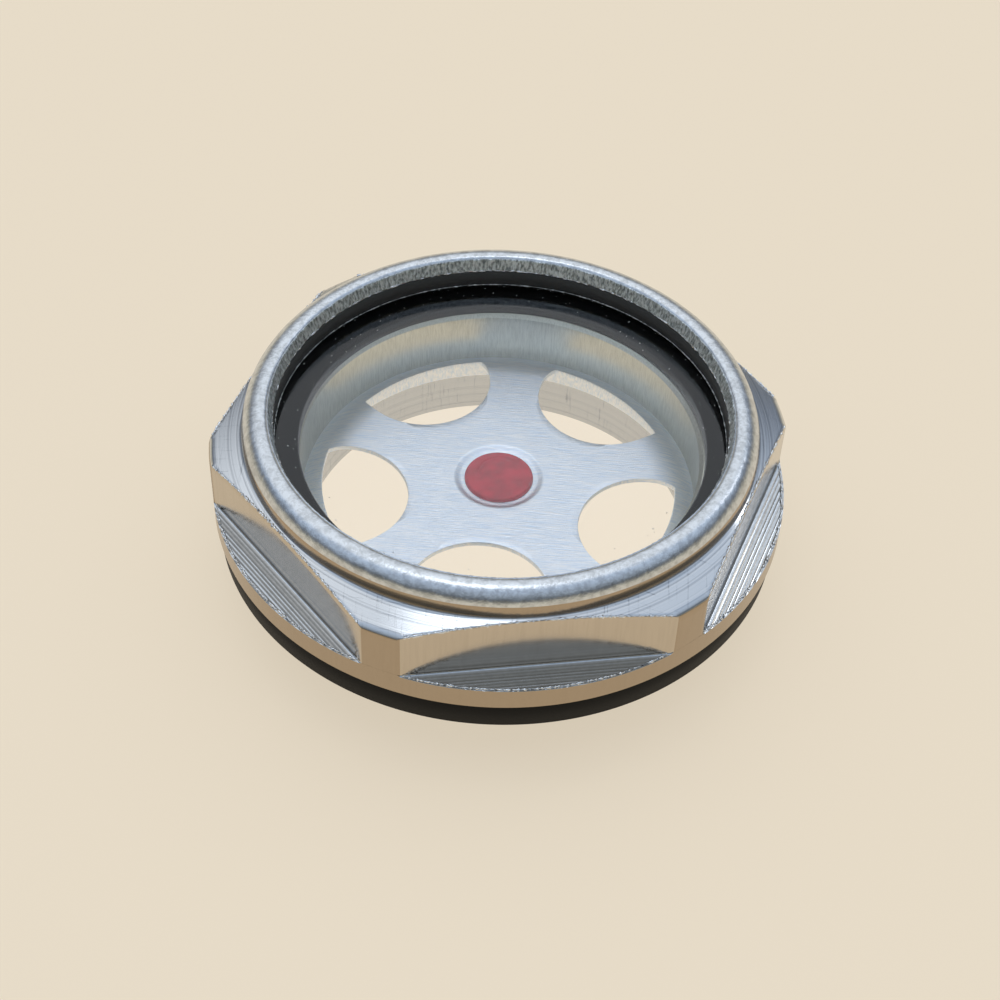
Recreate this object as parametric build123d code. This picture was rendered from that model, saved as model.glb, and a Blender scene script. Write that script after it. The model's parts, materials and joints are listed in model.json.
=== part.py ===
"""Tank level gauge: a screw-in sight glass for an oil tank, about 60 mm across its flange.

One aluminium body carries the flange, the milled hexagon, the thread and a collar whose lip is
rolled in over the window. Below the window a pressed reflector sits in the bore.
Z = 0 is the sealing plane under the gasket. The thread points down, the window looks up.
"""

import os
from math import asin, degrees, radians, tan

from build123d import *

# Spigot with its thread, bore and gasket. Every other radius steps outwards or inwards from here.
THREAD_RADIUS = 24.0
THREAD_LENGTH = 6.0  # past the gasket
THREAD_LEAD_IN = 1.0
RELIEF_DEPTH = 1.2  # undercut where the gasket sits
SPIGOT_WALL = 3.2  # bore to the thread's crests
BORE_LEAD_IN = 0.5
GASKET_THICKNESS = 3.2
GASKET_CLEARANCE = 0.2  # radial, over the thread
GASKET_SETBACK = 0.4  # inside the flange's rim

# Window seat, collar and rolled lip
SEAT_WIDTH = 4.2  # ledge between the bore and the collar's wall
COLLAR_WALL = 1.5
COLLAR_STRAIGHT = 1.1  # upright wall between the hexagon and the roll
ROLL_RADIUS = 1.9
LIP_REACH = 1.65  # how far the lip hangs in past the collar's wall
LIP_THICKNESS = 1.65  # metal above the upper seal
SHEAR_LEAN = 0.4  # the cut edge of the lip opens upwards by this much
SHEAR_DROP = 0.25  # fall of the lip from its crest to the cut edge

# Hexagon and flange
FLAT_MARGIN = 0.35  # from the collar to the middle of a flat
LEDGE_DEPTH = 3.15  # from the middle of a flat to the flange's rim
FLANGE_THICKNESS = 2.5  # left below the milled flats
HEX_FLAT_HEIGHT = 6.4  # from the ledge at a flat's foot to its top edge
HEX_TOP_SLOPE = 18.0  # degrees, the turned cone on top of the hexagon
HEX_SIDES = 6

# Window stack, counted down from the lip
UPPER_SEAL_THICKNESS = 1.8
GLASS_THICKNESS = 2.5
LOWER_SEAL_THICKNESS = 1.1
WINDOW_CLEARANCE = 0.1  # radial, between the stack and the collar's wall
GLASS_BEVEL = 0.3
SEAL_SETBACK = 0.4  # ledge left in view inside the lower seal

# Reflector, pressed from sheet
SHEET = 0.5
REFLECTOR_DEPTH = 4.6  # from the seal's ledge down to the plateau
SHOULDER_RUN = 4.6  # from the skirt in to the plateau
SHOULDER_RADIUS = 7.5  # of the curve that falls from the plateau to the skirt
SKIRT_LENGTH = 2.0
HOLE_COUNT = 5
HOLE_RADIUS = 7.3
HOLE_INSET = 3.7  # from the skirt in to the holes' centres
HOLE_RIM_MARGIN = 2.1  # sheet left between a hole and the skirt
HOLE_TURN = 39.3  # degrees, first hole from +X
DIMPLE_RADIUS = 4.4
DIMPLE_SLOPE = 0.4  # run of the dimple's wall
DIMPLE_DEPTH = 0.3

# Red marker drop in the dimple
DOT_CLEARANCE = 0.35  # radial, to the foot of the dimple's wall
DOT_HEIGHT = 0.5

# Heights that follow from the sizes above
seat_z = GASKET_THICKNESS
spigot_end_z = -THREAD_LENGTH
ledge_z = seat_z + FLANGE_THICKNESS
hex_top_z = ledge_z + HEX_FLAT_HEIGHT
roll_z = hex_top_z + COLLAR_STRAIGHT
lip_top_z = roll_z + ROLL_RADIUS
upper_seal_top_z = lip_top_z - LIP_THICKNESS
glass_top_z = upper_seal_top_z - UPPER_SEAL_THICKNESS
glass_bottom_z = glass_top_z - GLASS_THICKNESS
seal_ledge_z = glass_bottom_z - LOWER_SEAL_THICKNESS
plateau_z = seal_ledge_z - REFLECTOR_DEPTH

# Radii that follow
bore_radius = THREAD_RADIUS - SPIGOT_WALL
window_bore_radius = bore_radius + SEAT_WIDTH
window_radius = window_bore_radius - WINDOW_CLEARANCE
collar_radius = window_bore_radius + COLLAR_WALL
flat_distance = collar_radius + FLAT_MARGIN
flange_radius = flat_distance + LEDGE_DEPTH
lip_opening_radius = window_bore_radius - LIP_REACH
dimple_floor_radius = DIMPLE_RADIUS - DIMPLE_SLOPE


def revolved(*edges):
    """Solid made by turning a closed outline of radius and height about the Z axis."""
    outline = Plane.XZ * Wire(edges)
    return revolve(make_face(outline), Axis.Z)


def turned(*points):
    """Solid made by turning a polygon of (radius, height) corners about the Z axis."""
    return revolved(*Polyline(*points, close=True).edges())


def cone_height(radius):
    """Height of the hexagon's turned top at a radius."""
    return hex_top_z - (radius - flat_distance) * tan(radians(HEX_TOP_SLOPE))


def hexagon_band():
    """Flange and hexagon: a round disc with a conical top, then six flats milled down to a ledge."""
    disc = turned(
        (0, seat_z),
        (flange_radius, seat_z),
        (flange_radius, cone_height(flange_radius)),
        (collar_radius, cone_height(collar_radius)),
        (0, cone_height(collar_radius)),
    )
    cutter_depth = flange_radius
    cutter = Pos(0, -flat_distance - cutter_depth / 2, ledge_z) * Box(
        2 * flange_radius,
        cutter_depth,
        2 * HEX_FLAT_HEIGHT,
        align=(Align.CENTER, Align.CENTER, Align.MIN),
    )
    return disc - [Rot(0, 0, side * 360 / HEX_SIDES) * cutter for side in range(HEX_SIDES)]


def collar():
    """Collar with its rolled crest, still solid inside."""
    roll_centre = (collar_radius - ROLL_RADIUS, roll_z)
    cut_edge = (lip_opening_radius + SHEAR_LEAN, lip_top_z - SHEAR_DROP)
    crest = CenterArc(roll_centre, ROLL_RADIUS, 0, 90)
    crown = TangentArc(crest @ 1, cut_edge, tangent=(-1, 0))
    sides = Polyline(crown @ 1, (0, cut_edge[1]), (0, seat_z), (collar_radius, seat_z), crest @ 0)
    return revolved(crest, crown, *sides.edges())


def spigot():
    """Threaded end at its full thread diameter, with an undercut below the flange."""
    relief_radius = THREAD_RADIUS - RELIEF_DEPTH
    return turned(
        (0, spigot_end_z),
        (THREAD_RADIUS - THREAD_LEAD_IN, spigot_end_z),
        (THREAD_RADIUS, spigot_end_z + THREAD_LEAD_IN),
        (THREAD_RADIUS, 0),
        (relief_radius, 0),
        (relief_radius, seat_z),
        (0, seat_z),
    )


def cavity():
    """Everything that is open inside the body: bore, window seat and the lip's mouth."""
    mouth_z = lip_top_z - SHEAR_DROP
    return turned(
        (0, spigot_end_z),
        (bore_radius + BORE_LEAD_IN, spigot_end_z),
        (bore_radius, spigot_end_z + BORE_LEAD_IN),
        (bore_radius, seal_ledge_z),
        (window_bore_radius, seal_ledge_z),
        (window_bore_radius, upper_seal_top_z),
        (lip_opening_radius, upper_seal_top_z),
        (lip_opening_radius + SHEAR_LEAN, mouth_z),
        (0, mouth_z),
    )


def body():
    """The one-piece machined body."""
    return hexagon_band() + collar() + spigot() - cavity()


def ring(inner_radius, outer_radius, bottom_z, top_z):
    """Flat ring of rectangular section."""
    return turned(
        (inner_radius, bottom_z),
        (outer_radius, bottom_z),
        (outer_radius, top_z),
        (inner_radius, top_z),
    )


def window_glass():
    """Flat glass disc with ground edges."""
    return turned(
        (0, glass_bottom_z),
        (window_radius - GLASS_BEVEL, glass_bottom_z),
        (window_radius, glass_bottom_z + GLASS_BEVEL),
        (window_radius, glass_top_z - GLASS_BEVEL),
        (window_radius - GLASS_BEVEL, glass_top_z),
        (0, glass_top_z),
    )


def pressed_sheet():
    """Reflector before punching: dimple, flat plateau, falling shoulder and an upright skirt."""
    plateau_radius = bore_radius - SHOULDER_RUN
    floor_z = plateau_z - DIMPLE_DEPTH
    centre = (plateau_radius, plateau_z - SHOULDER_RADIUS)
    outer_turn = degrees(asin(SHOULDER_RUN / SHOULDER_RADIUS))
    inner_turn = degrees(asin((SHOULDER_RUN - SHEET) / (SHOULDER_RADIUS - SHEET)))
    upper_shoulder = CenterArc(centre, SHOULDER_RADIUS, 90, -outer_turn)
    lower_shoulder = CenterArc(centre, SHOULDER_RADIUS - SHEET, 90 - inner_turn, inner_turn)
    skirt_end_z = (lower_shoulder @ 0).Y - SKIRT_LENGTH
    upper_middle = Polyline(
        (0, floor_z),
        (dimple_floor_radius, floor_z),
        (DIMPLE_RADIUS, plateau_z),
        upper_shoulder @ 0,
    )
    skirt = Polyline(
        upper_shoulder @ 1,
        (bore_radius, skirt_end_z),
        (bore_radius - SHEET, skirt_end_z),
        lower_shoulder @ 0,
    )
    lower_middle = Polyline(
        lower_shoulder @ 1,
        (DIMPLE_RADIUS, plateau_z - SHEET),
        (dimple_floor_radius, floor_z - SHEET),
        (0, floor_z - SHEET),
        (0, floor_z),
    )
    return revolved(
        *upper_middle.edges(), upper_shoulder, *skirt.edges(), lower_shoulder, *lower_middle.edges()
    )


def reflector():
    """Pressed reflector with its ring of holes, each cut short where the shoulder falls away."""
    punch_height = 4 * SHOULDER_RADIUS
    limit = Cylinder(bore_radius - HOLE_RIM_MARGIN, punch_height)
    punch = Pos(bore_radius - HOLE_INSET, 0, 0) * Cylinder(HOLE_RADIUS, punch_height) & limit
    step = 360 / HOLE_COUNT
    punches = [
        Pos(0, 0, plateau_z) * Rot(0, 0, HOLE_TURN + index * step) * punch for index in range(HOLE_COUNT)
    ]
    return pressed_sheet() - punches


def red_dot():
    """Enamel drop with a domed top, standing on the dimple's floor."""
    floor_z = plateau_z - DIMPLE_DEPTH
    radius = dimple_floor_radius - DOT_CLEARANCE
    dome_radius = (radius**2 + DOT_HEIGHT**2) / (2 * DOT_HEIGHT)
    span = degrees(asin(radius / dome_radius))
    dome = CenterArc((0, floor_z + DOT_HEIGHT - dome_radius), dome_radius, 90, -span)
    base = Polyline(dome @ 1, (0, floor_z), dome @ 0)
    return revolved(dome, *base.edges())


PARTS = {
    "body": body(),
    "upper_seal": ring(lip_opening_radius, window_radius, glass_top_z, upper_seal_top_z),
    "window_glass": window_glass(),
    "lower_seal": ring(bore_radius + SEAL_SETBACK, window_radius, seal_ledge_z, glass_bottom_z),
    "reflector": reflector(),
    "red_dot": red_dot(),
    "flange_gasket": ring(
        THREAD_RADIUS + GASKET_CLEARANCE, flange_radius - GASKET_SETBACK, 0, GASKET_THICKNESS
    ),
}

os.makedirs("parts", exist_ok=True)
for node, solid in PARTS.items():
    export_step(solid, f"parts/{node}.step")
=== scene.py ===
# %% [markdown]
# # Tank level gauge
#
# A screw-in sight glass for an oil tank, about 60 mm across. One aluminium body is turned from bar,
# its hexagon is milled, and its collar is rolled in over a glass window between two black seals.
# Below the window lies a pressed reflector with five punched holes and a red enamel drop.
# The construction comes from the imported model. This script gives every surface its finish.

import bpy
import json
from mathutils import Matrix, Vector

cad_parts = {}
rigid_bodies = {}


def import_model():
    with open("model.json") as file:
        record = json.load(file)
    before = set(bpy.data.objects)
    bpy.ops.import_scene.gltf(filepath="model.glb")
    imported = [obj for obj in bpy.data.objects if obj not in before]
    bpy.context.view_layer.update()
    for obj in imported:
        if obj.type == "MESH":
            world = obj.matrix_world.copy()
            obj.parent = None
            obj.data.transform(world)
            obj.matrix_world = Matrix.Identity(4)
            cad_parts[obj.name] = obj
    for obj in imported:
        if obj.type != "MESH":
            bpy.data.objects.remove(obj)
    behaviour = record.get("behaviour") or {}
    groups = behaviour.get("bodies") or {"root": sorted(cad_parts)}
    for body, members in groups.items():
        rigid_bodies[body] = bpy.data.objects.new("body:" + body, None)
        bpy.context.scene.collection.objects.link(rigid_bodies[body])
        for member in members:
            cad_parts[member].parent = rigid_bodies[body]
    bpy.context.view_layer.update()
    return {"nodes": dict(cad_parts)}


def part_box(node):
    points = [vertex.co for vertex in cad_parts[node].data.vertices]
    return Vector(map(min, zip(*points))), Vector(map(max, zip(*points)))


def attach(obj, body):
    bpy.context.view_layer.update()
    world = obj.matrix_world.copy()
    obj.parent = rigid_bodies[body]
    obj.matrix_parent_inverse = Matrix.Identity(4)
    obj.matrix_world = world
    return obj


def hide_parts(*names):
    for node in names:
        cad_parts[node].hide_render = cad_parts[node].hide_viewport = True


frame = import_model()
print("nodes:", sorted(frame["nodes"]))

# %% [markdown]
# ## Working sizes
#
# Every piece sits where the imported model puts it, so the main radii and heights are read from the
# boxes of its nodes. Only what a box can't tell, such as a wall or a fillet, is written here.

# %% Read radii and heights
import json
import math

import bmesh
import bpy
import numpy as np
from mathutils import Matrix, Vector, noise

MM = 0.001


def heights(node):
    """Bottom and top of a node."""
    low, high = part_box(node)
    return low.z, high.z


def outer_radius(node):
    """Largest radius of a round node."""
    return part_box(node)[1].x


RIM = outer_radius("body")
SPIGOT_END, LIP_TOP = heights("body")
SEAT = heights("flange_gasket")[1]
GLASS_TOP, LIP_UNDERSIDE = heights("upper_seal")
SEAL_LEDGE, GLASS_BOTTOM = heights("lower_seal")
WINDOW_RADIUS = outer_radius("window_glass")
BORE = outer_radius("reflector")
print(f"flange {2 * RIM / MM:.1f} mm across, lip {LIP_TOP / MM:.1f} mm above the sealing plane")

# %% [markdown]
# ## Camera
#
# The gauge is seen from the front and from 45 degrees above, so that the window, the reflector and
# three of the milled flats show together. A lens of about 67 mm keeps the circles nearly free of
# perspective, and a slight roll tips the horizon as a hand-held camera does.

# %% Place the camera
CAMERA_TARGET = Vector((-1.1, -8.0, 9.2)) * MM
CAMERA_AZIMUTH = math.radians(9.5)
CAMERA_ELEVATION = math.radians(45.5)
CAMERA_ROLL = math.radians(2.6)
CAMERA_DISTANCE = 188.1 * MM
LENS = 66.9


def put(name, data):
    """Object in the scene."""
    thing = bpy.data.objects.new(name, data)
    bpy.context.scene.collection.objects.link(thing)
    return thing


def place_camera():
    """Camera on a sphere round its target, rolled about its own line of sight."""
    level = math.cos(CAMERA_ELEVATION)
    east, north = math.sin(CAMERA_AZIMUTH), math.cos(CAMERA_AZIMUTH)
    back = Vector((-east * level, -north * level, math.sin(CAMERA_ELEVATION)))
    side = Vector((north, -east, 0))
    right = side * math.cos(CAMERA_ROLL) + back.cross(side) * math.sin(CAMERA_ROLL)
    turned = Matrix((right, back.cross(right), back)).transposed().to_4x4()
    data = bpy.data.cameras.new("camera")
    data.lens = LENS
    data.clip_start = 0.01
    data.clip_end = 20
    camera = put("camera", data)
    camera.matrix_world = Matrix.Translation(CAMERA_TARGET + back * CAMERA_DISTANCE) @ turned
    bpy.context.scene.camera = camera
    return camera


camera = place_camera()
bpy.context.scene.view_settings.view_transform = "Standard"
print("camera at", [round(value / MM) for value in camera.location], "mm")

# %% [markdown]
# ## Helpers for meshes and materials
#
# A piece is a mesh whose points are already in place, with its object at the origin. A material is a
# small tree of nodes on the Principled shader. Colours are written as sRGB hex values, as a paint
# chart gives them, and turned to the linear values that the renderer works in.

# %% Mesh and material helpers
def new_piece(name, points, faces, materials, face_materials=None, smooth=True):
    """Object from points in metres, with a finish for each face."""
    mesh = bpy.data.meshes.new(name)
    mesh.from_pydata([tuple(point) for point in points], [], [tuple(face) for face in faces])
    piece = put(name, mesh)
    for material in materials:
        mesh.materials.append(material)
    if face_materials is not None:
        mesh.polygons.foreach_set("material_index", face_materials)
    mesh.polygons.foreach_set("use_smooth", [smooth] * len(mesh.polygons))
    return piece


def linear(hex_colour):
    """Linear RGBA of an sRGB hex colour."""
    channels = [int(hex_colour[start : start + 2], 16) / 255 for start in (1, 3, 5)]
    return [c / 12.92 if c <= 0.04045 else ((c + 0.055) / 1.055) ** 2.4 for c in channels] + [1.0]


def add_node(tree, kind, inputs=None, stops=(), **settings):
    """Node with its settings. An input is a value, or the node or socket that is plugged in."""
    node = tree.nodes.new(kind)
    for key, value in settings.items():
        setattr(node, key, value)
    for key, value in (inputs or {}).items():
        if isinstance(value, bpy.types.Node):
            value = value.outputs[0]
        if isinstance(value, bpy.types.NodeSocket):
            tree.links.new(value, node.inputs[key])
        else:
            node.inputs[key].default_value = value
    ramp = node.color_ramp.elements if stops else ()
    while len(ramp) < len(stops):
        ramp.new(1.0)
    for element, (position, colour) in zip(ramp, stops):
        element.position = position
        element.color = linear(colour)
    return node


def new_material(name, colour, **sockets):
    """Material with one Principled shader, and its tree and shader to build on."""
    material = bpy.data.materials.new(name)
    material.use_nodes = True
    tree = material.node_tree
    shader = tree.nodes["Principled BSDF"]
    shader.inputs["Base Color"].default_value = linear(colour)
    for socket, value in sockets.items():
        shader.inputs[socket.replace("_", " ")].default_value = value
    return material, tree, shader

# %% [markdown]
# ## Floor
#
# Bright metal has hardly any colour of its own: it shows what stands round it. The floor is a plain
# pale sand tone, which the upright flats pick up. It shows a share of its colour unshaded to the
# camera, to metal and to glass alike, and keeps the shadow of the gauge.

# %% Lay the floor
FLOOR_COLOUR = "#F4E6CF"
FLOOR_GLOW = {"Is Camera Ray": 0.7, "Is Glossy Ray": 0.7, "Is Transmission Ray": 0.9}
FLOOR_RADIUS = 12.0  # metres, so that it reaches the horizon
FLOOR_GAP = 0.02 * MM


def floor_material():
    """Matt floor that mixes its lit colour with the same colour unshaded."""
    material, tree, shader = new_material(
        "studio_floor", FLOOR_COLOUR, Roughness=0.9, Specular_IOR_Level=0.1
    )
    unshaded = add_node(tree, "ShaderNodeEmission", {"Color": linear(FLOOR_COLOUR), "Strength": 1.0})
    rays = add_node(tree, "ShaderNodeLightPath").outputs
    share = 0.0
    for ray, glow in FLOOR_GLOW.items():
        part = add_node(tree, "ShaderNodeMath", {0: rays[ray], 1: glow}, operation="MULTIPLY")
        share = add_node(tree, "ShaderNodeMath", {0: part, 1: share}, operation="MAXIMUM")
    mixed = add_node(tree, "ShaderNodeMixShader", {0: share, 1: shader, 2: unshaded})
    tree.links.new(mixed.outputs[0], tree.nodes["Material Output"].inputs["Surface"])
    return material


def circle(radius, level, steps=96):
    """Points round the axis."""
    turns = [math.tau * step / steps for step in range(steps)]
    return [(radius * math.cos(turn), radius * math.sin(turn), level) for turn in turns]


outline = circle(FLOOR_RADIUS, SPIGOT_END - FLOOR_GAP)
floor = new_piece("studio_floor", outline, [range(len(outline))], [floor_material()], smooth=False)
print("floor at", round(SPIGOT_END / MM, 2), "mm")

# %% [markdown]
# ## Light
#
# A product studio lights bright metal with large soft surfaces, and the metal mirrors them. Here the
# sky stands for them. It is brightest high up behind the gauge, and a second layer dims it towards
# the horizon, so that round forms keep a darker band. Low down it takes the floor's tone. A soft
# lobe overhead puts the white on the cone and on the rolled lip.

# %% Paint the sky
BRIGHT_SIDE = Vector((-0.03, 0.6, 0.75)).normalized()
SKY = ((0.0, "#6E747A"), (0.5, "#969FA8"), (0.86, "#BFCEE2"), (0.94, "#F2F8FF"))
DIM_BAND = ((0.1, "#808080"), (0.35, "#8D8D90"), (0.65, "#FFFFFF"))
WARM_WALL = "#D6CEB9"
WARM_WALL_HEIGHT = 0.34
OVERHEAD = Vector((-0.025, 0.17, 0.98)).normalized()
OVERHEAD_EDGES = (0.982, 0.998)  # cosines of the angles at which the lobe begins and is full
SKY_STRENGTH = 1.15
OVERHEAD_STRENGTH = 3.45


def paint_sky():
    """World with the sky's layers as its colour and the lobe overhead as its strength."""
    world = bpy.data.worlds.new("studio_sky")
    bpy.context.scene.world = world
    world.use_nodes = True
    tree = world.node_tree
    background = tree.nodes["Background"].inputs
    direction = add_node(tree, "ShaderNodeTexCoord").outputs["Generated"]
    height = add_node(tree, "ShaderNodeSeparateXYZ", {0: direction}).outputs["Z"]
    facing, overhead = [
        add_node(tree, "ShaderNodeVectorMath", {0: direction, 1: way}, operation="DOT_PRODUCT")
        for way in (BRIGHT_SIDE, OVERHEAD)
    ]
    share = add_node(tree, "ShaderNodeMapRange", {"From Min": -1.0, "Value": facing.outputs["Value"]})
    dome = add_node(tree, "ShaderNodeValToRGB", {0: share}, stops=SKY)
    dimmer = add_node(tree, "ShaderNodeValToRGB", {0: height}, stops=DIM_BAND)
    sky = add_node(
        tree,
        "ShaderNodeMix",
        {"Factor": 1.0, "A": dome, "B": dimmer},
        data_type="RGBA",
        blend_type="MULTIPLY",
    )
    low = add_node(
        tree,
        "ShaderNodeMapRange",
        {"From Max": WARM_WALL_HEIGHT, "To Min": 1.0, "To Max": 0.0, "Value": height},
    )
    room = add_node(
        tree,
        "ShaderNodeMix",
        {"B": linear(WARM_WALL), "Factor": low, "A": sky.outputs["Result"]},
        data_type="RGBA",
    )
    tree.links.new(room.outputs["Result"], background["Color"])
    begin, full = OVERHEAD_EDGES
    strength = add_node(
        tree,
        "ShaderNodeMapRange",
        {
            "From Min": begin,
            "From Max": full,
            "To Min": SKY_STRENGTH,
            "To Max": OVERHEAD_STRENGTH,
            "Value": overhead.outputs["Value"],
        },
        interpolation_type="SMOOTHSTEP",
    )
    tree.links.new(strength.outputs[0], background["Strength"])
    return world


print("sky:", paint_sky().name)

# %% [markdown]
# One small lamp at the right is enough beside that sky. It lights the ridges of the right ledge from
# the side, so that they stand out as white and dark stripes, and it gives the shadow a direction.

# %% Hang the lamp
LAMP_WAY = Vector((0.65, 0.37, 0.66)).normalized()
LAMP_DISTANCE = 0.8
LAMP_SIZE = 0.08
LAMP_WATTS = 0.085
data = bpy.data.lights.new("side_softbox", "AREA")
data.shape = "DISK"
data.size = LAMP_SIZE
data.energy = LAMP_WATTS
lamp = put("side_softbox", data)
lamp.location = LAMP_WAY * LAMP_DISTANCE
lamp.rotation_euler = LAMP_WAY.to_track_quat("Z", "Y").to_euler()
print("lamp at", [round(value, 2) for value in lamp.location], "m")

# %% [markdown]
# ## Marks on a surface
#
# Every finish starts from the place of a point in millimetres, so its marks have a real size. Noise
# over that place gives the marks. They stand out as bump, and they darken and lighten the colour.

# %% Helpers for marks
def place_in_mm(tree, lengths=(1, 1, 1), turn=0):
    """Object coordinates in millimetres, drawn out to lengths and turned about the axis."""
    place = add_node(tree, "ShaderNodeTexCoord").outputs["Object"]
    scale = tuple(length * MM for length in lengths)
    inputs = {"Rotation": (0, 0, math.radians(turn)), "Scale": scale, "Vector": place}
    return add_node(tree, "ShaderNodeMapping", inputs, vector_type="TEXTURE")


def roughen(tree, shader, marks, depth):
    """Bump from marks, with a depth in millimetres."""
    height = {"Strength": 1.0, "Distance": depth * MM, "Height": marks}
    bump = add_node(tree, "ShaderNodeBump", height)
    tree.links.new(bump.outputs[0], shader.inputs["Normal"])


def shade(tree, shader, marks, stops):
    """Shades of the base colour, by how strong the marks are."""
    ramp = add_node(tree, "ShaderNodeValToRGB", {0: marks}, stops=stops)
    tree.links.new(ramp.outputs["Color"], shader.inputs["Base Color"])


def grained(name, colour, pattern, depth, stops=(), lengths=(1, 1, 1), turn=0, **sockets):
    """Material with noise as bump and shade. The pattern is the noise's scale, detail, roughness."""
    material, tree, shader = new_material(name, colour, **sockets)
    inputs = dict(zip(("Scale", "Detail", "Roughness"), pattern))
    inputs["Vector"] = place_in_mm(tree, lengths, turn)
    marks = add_node(tree, "ShaderNodeTexNoise", inputs)
    roughen(tree, shader, marks, depth)
    if stops:
        shade(tree, shader, marks, stops)
    return material

# %% [markdown]
# ## Turned metal
#
# Bar aluminium is a cool, pale grey metal. Turning leaves fine rings in it, which spread a highlight
# across the rings and draw it out into radial wedges, so the finish is anisotropic. The rings are
# noise that depends only on the radius and the height. A few straight scratches from handling
# cross them, and these are noise drawn out in one direction and cut off at a level.

# %% Turned aluminium
ALUMINIUM = "#CFD1D3"
TURNED_SHADES = ((0.2, "#85888C"), (0.5, ALUMINIUM))
RING_WIDTH = 0.2  # mm, as coarse as the rings need to be to show
RING_DEPTH = 0.012  # mm
SCRATCH_SHADE = -0.12
SCRATCHES = (
    # turn in degrees, length and width in mm, level above which a scratch shows
    (80, 5.0, 0.12, 0.66),
    (-20, 3.5, 0.12, 0.69),
)


def radius_and_height(tree):
    """Distance from the turning axis and height, in millimetres."""
    place = place_in_mm(tree)
    flat = add_node(tree, "ShaderNodeVectorMath", {0: place, 1: (1, 1, 0)}, operation="MULTIPLY")
    radius = add_node(tree, "ShaderNodeVectorMath", {0: flat}, operation="LENGTH").outputs["Value"]
    height = add_node(tree, "ShaderNodeSeparateXYZ", {0: place}).outputs["Z"]
    return add_node(tree, "ShaderNodeCombineXYZ", {0: radius, 1: height})


def scratches(tree, turn, length, width, level):
    """White along fine straight scratches."""
    marks = add_node(
        tree,
        "ShaderNodeTexNoise",
        {"Scale": 1.0, "Detail": 1.0, "Vector": place_in_mm(tree, (length, width, length), turn)},
    )
    stops = ((level, "#000000"), (level + 0.03, "#FFFFFF"))
    return add_node(tree, "ShaderNodeValToRGB", {0: marks}, stops=stops)


def turned_aluminium():
    """Lathe-turned metal: the eye sees bright wedges that swing round as the gauge is turned."""
    material, tree, shader = new_material(
        "turned_aluminium",
        ALUMINIUM,
        Metallic=1.0,
        Roughness=0.14,
        Anisotropic=0.6,
        Anisotropic_Rotation=0.25,
    )
    tangent = add_node(tree, "ShaderNodeTangent", direction_type="RADIAL", axis="Z")
    tree.links.new(tangent.outputs[0], shader.inputs["Tangent"])
    rings = add_node(
        tree,
        "ShaderNodeTexNoise",
        {"Scale": 1 / RING_WIDTH, "Detail": 3.0, "Roughness": 0.7, "Vector": radius_and_height(tree)},
    )
    roughen(tree, shader, rings, RING_DEPTH)
    marks = rings
    for scratch in SCRATCHES:
        marks = add_node(
            tree,
            "ShaderNodeMath",
            {0: scratches(tree, *scratch), 1: SCRATCH_SHADE, 2: marks},
            operation="MULTIPLY_ADD",
        )
    shade(tree, shader, marks, TURNED_SHADES)
    return material


TURNED = turned_aluminium()
print("finish:", TURNED.name)

# %% [markdown]
# ## Milled, rolled and sheared metal
#
# The other finishes differ in how rough the metal is, how large and deep the tool's marks are, and
# how far those marks lighten and darken it. The upright flats, the rim, the corners and the foot of
# the rolled lip are painted a warm tan, a painted reflection of the pale floor. The torn edge has the
# widest spread of shades, and its brightest points are painted glints.

# %% Finishes of the body
def cut_aluminium(name, roughness, grain, depth, dark, pale, streak=1.0):
    """Cut metal: grain and depth of its marks in mm, its shades, and how far marks run upright."""
    shades = ((0.38, dark), (0.58, pale))
    pattern = (1 / grain, 4.0, 0.65)
    lengths = (1, 1, streak)
    return grained(name, pale, pattern, depth, shades, lengths, Metallic=1.0, Roughness=roughness)


# Each call gives roughness, grain and depth in mm, dark and pale shade, and the upright stretch
# The flats: nearly mirrors, blurred a little by upright streaks of the side cutter, and painted tan
# as a reflection of the floor
MILLED = cut_aluminium("milled_aluminium", 0.16, 0.4, 0.004, "#C3B7A7", "#C7BBAB", 50 / 3)
# The lip: burnished to satin by the roller, with a mottled highlight
ROLLED = cut_aluminium("rolled_aluminium", 0.24, 0.7, 0.04, "#BEC1C4", "#D6DADE")
# The lip's cut edge: torn grey metal with bright points, which are painted glints
SHEARED = cut_aluminium("sheared_aluminium", 0.28, 0.25, 0.16, "#8A9498", "#F0F8FC", 10 / 3)
# The rim and the corners: the drawn skin of the bar, duller than a cut face. Its tan is a painted
# reflection of the floor, and the foot of the rolled lip takes it too
DRAWN = cut_aluminium("drawn_aluminium_floor_tinted", 0.26, 0.3, 0.002, "#AE9D88", "#B09F8A", 10)
# The chamber above the reflector: soft mirror images of the holes, with upright streaks
BORED = cut_aluminium("bored_aluminium", 0.33, 0.15, 0.003, "#BEBEAF", "#D0D0C1", 10)
# The thread and its spigot: darker grey and even, so that the ridges read by their shade. The dark
# stands in for the shade under the flange: painted shade
THREADED = cut_aluminium("threaded_aluminium", 0.3, 0.2, 0.003, "#94979A", "#A3A6A9")
# The ledges: clean cut by the cutter's end, so that their ridges flash
END_MILLED = cut_aluminium("end_milled_aluminium", 0.15, 0.4, 0.001, "#B6BABE", "#C0C4C8")
BODY_FINISHES = [TURNED, MILLED, ROLLED, SHEARED, DRAWN, BORED, THREADED, END_MILLED]
print("finishes:", [material.name for material in BODY_FINISHES])

# %% [markdown]
# ## The body's outline
#
# The body is round except for its six flats. Its mesh is a sheet of rows and columns wrapped round
# the axis: a column is one upright cut through the metal, and a row is one line of the outline. The
# columns fall exactly on the corners where a flat runs out into the rim, so those edges stay crisp.

# %% Columns round the hexagon
SIDES = 6
LEDGE_DEPTH = 3.15 * MM
FLAT_DISTANCE = RIM - LEDGE_DEPTH
FLAT_HALF_ANGLE = math.acos(FLAT_DISTANCE / RIM)
COLUMNS_ON_FLAT = 104
COLUMNS_ON_CORNER = 14


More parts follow.
